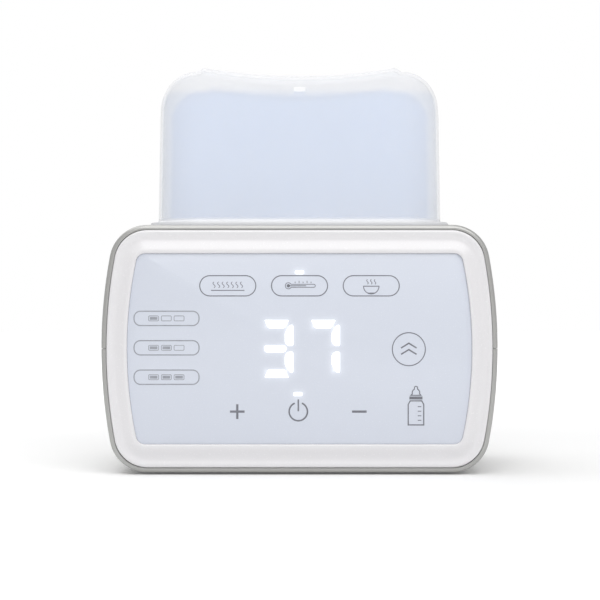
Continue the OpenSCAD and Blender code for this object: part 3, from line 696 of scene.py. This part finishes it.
def eased(outline, reach=0.7, steps=4):
    """An outline with each corner rounded over a short reach of its two sides."""
    out = []
    for i, p in enumerate(outline):
        ends = []
        for q in (outline[i - 1], outline[(i + 1) % len(outline)]):
            side = hypot(q[0] - p[0], q[1] - p[1])
            share = min(reach, side * 0.45) / side
            ends.append((p[0] + (q[0] - p[0]) * share, p[1] + (q[1] - p[1]) * share))
        for k in range(steps + 1):
            t = k / steps
            w = ((1 - t) ** 2, 2 * t * (1 - t), t * t)
            out.append(tuple(w[0] * ends[0][c] + w[1] * p[c] + w[2] * ends[1][c] for c in (0, 1)))
    return out


def flipped(outline):
    return [(x, -z) for x, z in reversed(outline)]


def lit_bars():
    """Outlines of the bars that make up the two digits."""
    three = [TOP_BAR, flipped(TOP_BAR), RIGHT_BAR, flipped(RIGHT_BAR), MIDDLE_BAR]
    seven = [TOP_BAR, RIGHT_BAR, flipped(RIGHT_BAR)]
    bars = [shifted(eased(o), DIGIT_X - DIGIT_PITCH / 2, MID) for o in three]
    bars += [shifted(eased(o), DIGIT_X + DIGIT_PITCH / 2, MID) for o in seven]
    return bars


def lamp_bars():
    a, b = LAMP_W / 2, LAMP_H / 2
    return [shifted(eased([(-a, b), (-a, -b), (a, -b), (a, b)], 0.5), x, MID + z) for x, z in LAMP_SPOTS]


for outline in lit_bars() + lamp_bars():
    xs, zs = [p[0] for p in outline], [p[1] for p in outline]
    DISPLAY_GLOW.append(((min(xs) + max(xs)) / 2, (min(zs) + max(zs)) / 2,
                         (max(xs) - min(xs)) / 2 - GLOW_INSET, (max(zs) - min(zs)) / 2 - GLOW_INSET))
MATERIALS.update(
    fuse_glass=fuse_glass(), plate=turned_plate(), lid=frosted_lid(), panel=panel_acrylic(), lit=lit_window()
)


def make_lit_bars():
    front, back = panel_y - PROUD, panel_y + LIT_DEPTH
    piece("display_digits", *gather([slab(o, front, back) for o in lit_bars()]), "lit",
          replaced=["display_segments"])
    piece("display_lamps", *gather([slab(o, front, back) for o in lamp_bars()]), "lit",
          replaced=["light_guides"])


# ---- Printed marks on the panel, all plain pictograms ----

def ribbon(points, width, closed=False):
    """Left and right edges of a line of the given width, mitred at its corners."""
    n = len(points)
    left, right = [], []
    for i, p in enumerate(points):
        before = points[i - 1] if i or closed else None
        after = points[(i + 1) % n] if i < n - 1 or closed else None
        directions = []
        for a, b in ((before, p), (p, after)):
            if a and b:
                d = hypot(b[0] - a[0], b[1] - a[1])
                directions.append(((b[0] - a[0]) / d, (b[1] - a[1]) / d))
        tx, ty = sum(d[0] for d in directions), sum(d[1] for d in directions)
        t = hypot(tx, ty)
        tx, ty = tx / t, ty / t
        stretch = 1 / max(tx * directions[0][0] + ty * directions[0][1], 0.35)
        nx, ny = -ty * width / 2 * stretch, tx * width / 2 * stretch
        left.append((p[0] + nx, p[1] + ny))
        right.append((p[0] - nx, p[1] - ny))
    return left, right


def stroke(points, width, closed=False):
    """Closed solid of a printed line on the panel."""
    left, right = ribbon(points, width, closed)
    front, back = panel_y - PROUD, panel_y + MARK_DEPTH
    n = len(points)
    verts, faces = [], []
    for l, r in zip(left, right):
        verts += [(x, y, z + MID) for (x, z), y in ((l, front), (r, front), (r, back), (l, back))]
    for i in range(n if closed else n - 1):
        j = (i + 1) % n
        faces += [(4 * i + k, 4 * i + (k + 1) % 4, 4 * j + (k + 1) % 4, 4 * j + k) for k in range(4)]
    if not closed:
        faces += [(0, 1, 2, 3), tuple(4 * (n - 1) + k for k in (3, 2, 1, 0))]
    return verts, faces


def solid_mark(outline):
    return slab(shifted(outline, 0, MID), panel_y - PROUD, panel_y + MARK_DEPTH)


def block_mark(x0, x1, z0, z1):
    return solid_mark([(x0, z0), (x1, z0), (x1, z1), (x0, z1)])


def pill(cx, cz, w, h, r):
    return shifted(rounded_outline(w / 2, h / 2, r, 10, 1), cx, cz)


def wave(cx, cz, height, swing=0.55, n=14):
    """An upright wavy line of steam."""
    return [(cx + swing * sin(2 * pi * i / n), cz - height / 2 + height * i / n) for i in range(n + 1)]


THIN, FINE = 0.42, 0.34  # widths of line
KEY_X, KEY_Z = 36.1, 31.7
LEVEL_X, LEVEL_ZS = -66.9, (15.3, 0.5, -14.3)
HEAT_X, HEAT_Z = 55, -0.2
POWER_X, MORE_X, LESS_X, POWER_Z = -0.6, -31.3, 30.1, -31.6
BOTTLE_X, BOTTLE_Z = 58.6, -29.0


def steam_mark(x, z):
    """Steam over a tray."""
    out = [stroke(wave(x + 2.3 * i, z + 0.5, 3.0), FINE) for i in range(-3, 4)]
    return out + [stroke([(x - 8.4, z - 2.3), (x + 8.4, z - 2.3)], THIN)]


def thermometer_mark(x, z):
    """A thermometer on its side, with ticks above it."""
    bulb_x, stem_x, turn = x - 5.6, x + 7.2, 0.51
    rim = arc(stem_x, z, 0.75, pi / 2, -pi / 2, 8) + arc(bulb_x, z, 1.55, -turn, -2 * pi + turn, 22)
    out = [stroke(rim, FINE, True), solid_mark(shifted(circle(0.85, 20), bulb_x, z))]
    out.append(block_mark(x - 5, x + 3.4, z - 0.2, z + 0.2))
    for i in range(5):
        tick_x = x - 2.2 + 2 * i
        out.append(stroke([(tick_x, z + 1.35), (tick_x, z + (2.5 if i % 2 else 2.1))], FINE))
    return out


def bowl_mark(x, z):
    """A steaming bowl on its foot."""
    out = [stroke(arc(x, z - 0.2, 3.9, -pi, 0, 22), THIN, True)]
    out.append(stroke([(x - 1.6, z - 3.65), (x + 1.6, z - 3.65)], THIN))
    return out + [stroke(wave(x + 1.9 * i, z + 2.0, 2.4, 0.4), FINE) for i in (-1, 0, 1)]


def power_row():
    """Power, more and less."""
    x, z = POWER_X, POWER_Z
    out = [stroke(arc(x, z, 4.6, radians(113), radians(427), 44), 0.8)]
    out.append(stroke([(x, z + 0.2), (x, z + 6.1)], 0.75))
    for x in (MORE_X, LESS_X):
        out.append(stroke([(x - 3.7, z), (x + 3.7, z)], 1.15))
    for low, high in ((0.5, 3.7), (-3.7, -0.5)):
        out.append(stroke([(MORE_X, z + low), (MORE_X, z + high)], 1.15))
    return out


def bottle_mark(x, z):
    """A plain feeding bottle."""
    glass = [(x - 3.9, z - 9.3), (x + 3.9, z - 9.3), (x + 3.9, z + 1.0), (x + 2.9, z + 2.8),
             (x - 2.9, z + 2.8), (x - 3.9, z + 1.0)]
    shoulder = arc(x, z + 6.9, 1.9, -0.3, pi / 2 - 0.45, 6)
    teat = [(x - 2.5, z + 5.6), (x + 2.5, z + 5.6)] + shoulder
    teat += [(x + 0.75, z + 9.8), (x, z + 10.1), (x - 0.75, z + 9.8)]
    teat += [(2 * x - a, b) for a, b in reversed(shoulder)]
    out = [stroke(glass, 0.6, True), block_mark(x - 3.3, x + 3.3, z + 3.5, z + 5.0)]
    out.append(stroke(teat, 0.5, True))
    for i in range(4):
        level = z - 7.0 + 2.3 * i
        out.append(stroke([(x + 0.9, level), (x + 2.7, level)], THIN))
    return out


def dark_marks():
    """All marks but the level keys."""
    out = [stroke(pill(x, KEY_Z, 28.2, 10.2, 5.09), 0.5, True) for x in (-KEY_X, 0, KEY_X)]
    out += steam_mark(-KEY_X, KEY_Z) + thermometer_mark(0, KEY_Z) + bowl_mark(KEY_X, KEY_Z)
    # Quick heat: two chevrons in a circle
    out.append(stroke(shifted(circle(8.3, 64), HEAT_X, HEAT_Z), 0.5, True))
    for z in (-2.1, 1.1):
        out.append(stroke([(HEAT_X - 3.9, z - 0.7), (HEAT_X, z + 1.7), (HEAT_X + 3.9, z - 0.7)], 0.7))
    return gather(out + power_row() + bottle_mark(BOTTLE_X, BOTTLE_Z))


def pale_marks():
    """Keys down the left, with one, two or three full blocks."""
    out = []
    for row, z in enumerate(LEVEL_ZS):
        out.append(stroke(pill(LEVEL_X, z, 32.7, 7.2, 3.2), 0.55, True))
        for i in range(3):
            x = -73.4 + 6.4 * i
            out.append(stroke(pill(x, z, 5.0, 2.5, 0.5), FINE, True))
            if i <= row:
                out.append(block_mark(x - 1.9, x + 1.9, z - 0.7, z + 0.7))
    return gather(out)


# ---- Lid, in mm about the middle of its foot until its points are added ----

FLANGE_OUT, FLANGE_T = 4.2, 2.8
LID_W, LID_D = flange_a - FLANGE_OUT, (lid_y1 - lid_y0) / 2 - FLANGE_OUT
LID_H = lid_z1 - lid_z0
LID_WALL, LID_R, DRAFT = 1.6, 22.0, 1.0
LID_FLAT = LID_W - DRAFT - LID_R  # half width of the plan's straight front
TOP_R, SHOULDER_DROP, SCOOP, SCOOP_HALF = 19.5, 2.3, 4.6, 50.5
EDGE_R = 5.5
STEAM_VENT, STEAM_VENT_Y = (6.5, 36, 12), 13  # width, length and steps of its ends; place behind the middle
FLANGE_SECTION = (  # height, distance out from the wall
    (FLANGE_T + 1.0, 0.0), (FLANGE_T + 0.45, 0.12), (FLANGE_T + 0.12, 0.45), (FLANGE_T, 1.0),
    (FLANGE_T, FLANGE_OUT - 1.0), (FLANGE_T - 0.3, FLANGE_OUT - 0.3), (FLANGE_T - 1.0, FLANGE_OUT),
    (0.7, FLANGE_OUT), (0.2, FLANGE_OUT - 0.2), (0.0, FLANGE_OUT - 0.7), (0.0, 0.6),
)


def lid_front():
    """Right half of the front profile, from the middle of the top to where the wall stands upright."""
    shoulder = LID_H - SHOULDER_DROP
    scoop_r = (SCOOP_HALF ** 2 + SCOOP ** 2) / (2 * SCOOP)
    turn = asin((SCOOP_HALF - 2.6) / scoop_r)
    centre = LID_H - SCOOP + scoop_r
    scoop = [turn * i / 18 for i in range(19)]
    points = [(scoop_r * sin(t), centre - scoop_r * cos(t)) for t in scoop]
    # The tip rolls over from the scoop down to the shoulder, along a Bezier curve
    x, z = points[-1]
    controls = [(x, z), (x + 1.2, z + 1.2 * sin(turn) + 0.03), (x + 2.2, LID_H + 0.3),
                (x + 3.6, shoulder + 0.6), (x + 5.2, shoulder + 0.01)]
    steps = 7
    for i in range(1, steps + 1):
        t = i / steps
        shares = [comb(4, k) * t ** k * (1 - t) ** (4 - k) for k in range(5)]
        points.append(tuple(sum(w * q[axis] for w, q in zip(shares, controls)) for axis in (0, 1)))
    cx, cz = LID_W - DRAFT - TOP_R, shoulder - TOP_R
    points += [(cx + TOP_R * sin(t), cz + TOP_R * cos(t)) for t in [pi / 2 * i / 18 for i in range(1, 19)]]
    return points


def inward(points, wall):
    """The profile moved in by the wall, along its normals."""
    out = []
    for i, (x, z) in enumerate(points):
        a, b = points[max(i - 1, 0)], points[min(i + 1, len(points) - 1)]
        if i == 0:
            a = (-b[0], b[1])
        tx, tz = b[0] - a[0], b[1] - a[1]
        if i == len(points) - 1:
            tx, tz = 0, -1
        t = hypot(tx, tz)
        out.append((x + tz / t * wall, z - tx / t * wall))
    return out


def lid_half_depth(x, wall):
    """Half depth of the lid's plan at a distance from the middle."""
    if abs(x) <= LID_FLAT:
        return LID_D - DRAFT - wall
    return LID_D - DRAFT - LID_R + sqrt(max((LID_R - wall) ** 2 - (abs(x) - LID_FLAT) ** 2, 0))


def drafted(x, y, z):
    """Lets the walls lean in a little towards the top."""
    lean = DRAFT * max(0.0, 1 - z / (LID_H - SHOULDER_DROP - TOP_R))
    return (x * (1 + lean / (LID_W - DRAFT)), y * (1 + lean / (LID_D - DRAFT)), z)


def lid_skin(wall):
    """Rows over the top from front to back, one for each point of the front profile, left to right."""
    half = lid_front() if not wall else inward(lid_front(), wall)
    profile = [(-x, z) for x, z in reversed(half)][:-1] + half
    edge = max(EDGE_R - wall, 1.0)
    turns = [pi / 2 * i / 6 for i in range(7)]
    rows = []
    for x, z in profile:
        y = lid_half_depth(x, wall)
        row = [(x, -y + edge - edge * cos(t), z - edge + edge * sin(t)) for t in turns]
        row += [(x, (-y + edge) * (1 - i / 3), z) for i in range(1, 4)]
        row += [(a, -b, c) for a, b, c in reversed(row)][1:]
        rows.append(row)
    return rows


def plan_ring(rows, level, out):
    """Ring about the walls at a height, moved out along the plan's normals."""
    ring = []
    for side, order in ((0, rows), (-1, rows[::-1])):
        for row in order:
            x, y, _ = row[side]
            nx = 0 if abs(x) <= LID_FLAT else (abs(x) - LID_FLAT) / LID_R * (1 if x > 0 else -1)
            nx = max(-1, min(1, nx))
            ny = sqrt(1 - nx * nx) * (-1 if side == 0 else 1)
            px, py, pz = drafted(x, y, level)
            ring.append((px + nx * out, py + ny * out, pz))
    return ring


def make_lid():
    verts, faces = [], []

    def add(points):
        start = len(verts)
        verts.extend((x, y + well_y, z + lid_z0) for x, y, z in points)
        return list(range(start, start + len(points)))

    def bridge(a, b):
        n = len(a)
        for i in range(n):
            j = (i + 1) % n
            faces.append((b[i], b[j], a[j], a[i]))

    def between(foot, crown, share):
        """Ring a share of the way up from the points of a foot to the crown's numbered points."""
        ring = []
        for (x, y, z), i in zip(foot, crown):
            cx, cy, cz = verts[i]
            ring.append((x + (cx - x) * share, y + (cy - well_y - y) * share,
                         z + (cz - lid_z0 - z) * share))
        return add(ring)

    def skin(wall, turned):
        """Adds the top and ends of a skin; gives its rows and the ring where its walls begin."""
        rows = lid_skin(wall)
        ids = [add([drafted(*p) for p in row]) for row in rows]
        for a, b in zip(ids, ids[1:]):
            for j in range(len(a) - 1):
                face = (a[j], b[j], b[j + 1], a[j + 1])
                faces.append(tuple(reversed(face)) if turned else face)
        for row, flip in ((ids[0], not turned), (ids[-1], turned)):
            faces.append(tuple(reversed(row)) if flip else tuple(row))
        return rows, [row[0] for row in ids] + [row[-1] for row in reversed(ids)]

    rows, outer_top = skin(0, False)
    inner_rows, inner_top = skin(LID_WALL, True)
    foot = plan_ring(rows, FLANGE_SECTION[0][0], 0)
    chain = [outer_top] + [between(foot, outer_top, share) for share in (0.75, 0.5, 0.25)]
    chain += [add(plan_ring(rows, level, out)) for level, out in FLANGE_SECTION]
    inner_foot = plan_ring(inner_rows, 0.5, 0)
    chain.append(add([(x * 1.004, y * 1.007, 0.0) for x, y, z in inner_foot]))
    chain.append(add(inner_foot))
    chain += [between(inner_foot, inner_top, share) for share in (0.33, 0.66)]
    chain.append(inner_top)
    for a, b in zip(chain, chain[1:]):
        bridge(a, b)
    obj = stock("lid_cover", verts, faces, 40)
    vent = prism("vent", slot_outline(*STEAM_VENT), lid_z1 - 12, lid_z1 + 8, 0, well_y + STEAM_VENT_Y)
    combine(obj, [vent])
    tidy(obj, 40)
    obj.data.materials.clear()
    obj.data.materials.append(MATERIALS["lid"])
    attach(obj, "lid")
    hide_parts("lid")


# ---- Feet and cord gland ----

GLAND_BORE_R, SLEEVE_R, FLANGE_R, GROOVE_R = 3.5, 4.5, 7.6, 4.9
GLAND_SIDES = 56


def make_feet():
    z1 = FOOT[1][2]
    profile = [(0.01, 0.25), (2.6, 0.25), (3.0, 0.0), (FOOT_R - 0.8, 0.0), (FOOT_R - 0.2, 0.25),
               (FOOT_R, 0.8), (FOOT_R, z1 - 0.2), (FOOT_R - 0.2, z1), (0.01, z1)]
    parts = []
    for x, y in FOOT_SPOTS:
        verts, faces = lathe(profile, 48)
        parts.append(([(a + x, b + y, c) for a, b, c in verts], faces))
    piece("feet", *gather(parts), "foot_rubber", replaced=["rubber_feet"])


def make_gland():
    """Rubber sleeve with a flange on each side of the wall and a square neck through it."""
    y_end = GLAND[1][1] - rear_y
    tip = [(GLAND_BORE_R, y_end), (4.6, y_end), (5.0, y_end - 0.4), (5.15, y_end - 1.0)]
    sleeve = [(SLEEVE_R, y_end - 1.25), (SLEEVE_R, y_end - 1.7), (5.9, y_end - 2.0), (6.2, 1.5)]
    outer = [(FLANGE_R - 0.4, 1.5), (FLANGE_R, 1.1), (FLANGE_R, 0.05), (GROOVE_R, 0.05)]
    inner = [(GROOVE_R, -WALL - 0.05), (FLANGE_R, -WALL - 0.05), (FLANGE_R, -WALL - 1.7),
             (FLANGE_R - 0.3, -WALL - 2), (GLAND_BORE_R, -WALL - 2)]
    verts, faces = lathe(tip + sleeve + outer + inner, GLAND_SIDES, False)
    gland = stock("gland", [(x + GLAND_X, rear_y + h, y + GLAND_Z) for x, y, h in verts], faces)
    neck = stock("neck", *slab(neck_outline(0), rear_y - WALL - 0.3, rear_y + 0.3))
    bore = shifted(circle(GLAND_BORE_R + 0.3, GLAND_SIDES), GLAND_X, GLAND_Z)
    combine(neck, [stock("bore", *slab(bore, rear_y - WALL - 1, rear_y + 1))])
    combine(gland, [neck], "UNION")
    finished(gland, "gland_rubber", ["cord_gland"], 0.12)


# ---- Everything ----

make_shell()
make_bezel()
make_panel()
make_lit_bars()
piece("panel_marks", *dark_marks(), "panel", look="print")
piece("panel_marks_pale", *pale_marks(), "panel", look="pale_print")
make_lid()
make_feet()
make_gland()

for name, obj in NODES.items():
    for material_slot in obj.material_slots:
        if material_slot.name in MATERIALS:
            material_slot.material = MATERIALS[material_slot.name]

SOFTENED = ("water_tank", "tank_gasket", "cord_clamp", "transformer", "relays", "filter_capacitor")
for name in SOFTENED:
    soften(NODES[name], SOFT_EDGE, 40)

# A wide pale floor, lit for the camera alone and less so near the object
FLOOR_R, FLOOR_SIDES = 4, 64
NEAR_GLOW, FAR_GLOW = 0.09, 0.6
NEAR_R, FAR_R = 0.25, 1.2
floor = bpy.data.meshes.new("floor")
floor.from_pydata(lying(circle(FLOOR_R, FLOOR_SIDES), 0), [], [tuple(range(FLOOR_SIDES))])
floor_obj = bpy.data.objects.new("floor", floor)
scene.collection.objects.link(floor_obj)
ground = Nodes("floor")
cloud = ground.span(ground.noise(3), 0, 1)
ground.set(Base_Color=ground.mix(cloud, (0.90, 0.90, 0.90), (0.92, 0.92, 0.92)))
ground.set(Roughness=ground.span(ground.noise(40), 0.7, 0.8))
seen = ground.put("LightPath").outputs["Is Camera Ray"]
far = ground.span(ground.vector("LENGTH", ground.space), NEAR_GLOW, FAR_GLOW, NEAR_R, FAR_R)
ground.set(Emission_Color=(1.0, 1.0, 1.0), Emission_Strength=ground.math("MULTIPLY", seen, far))
floor.materials.append(ground.material)
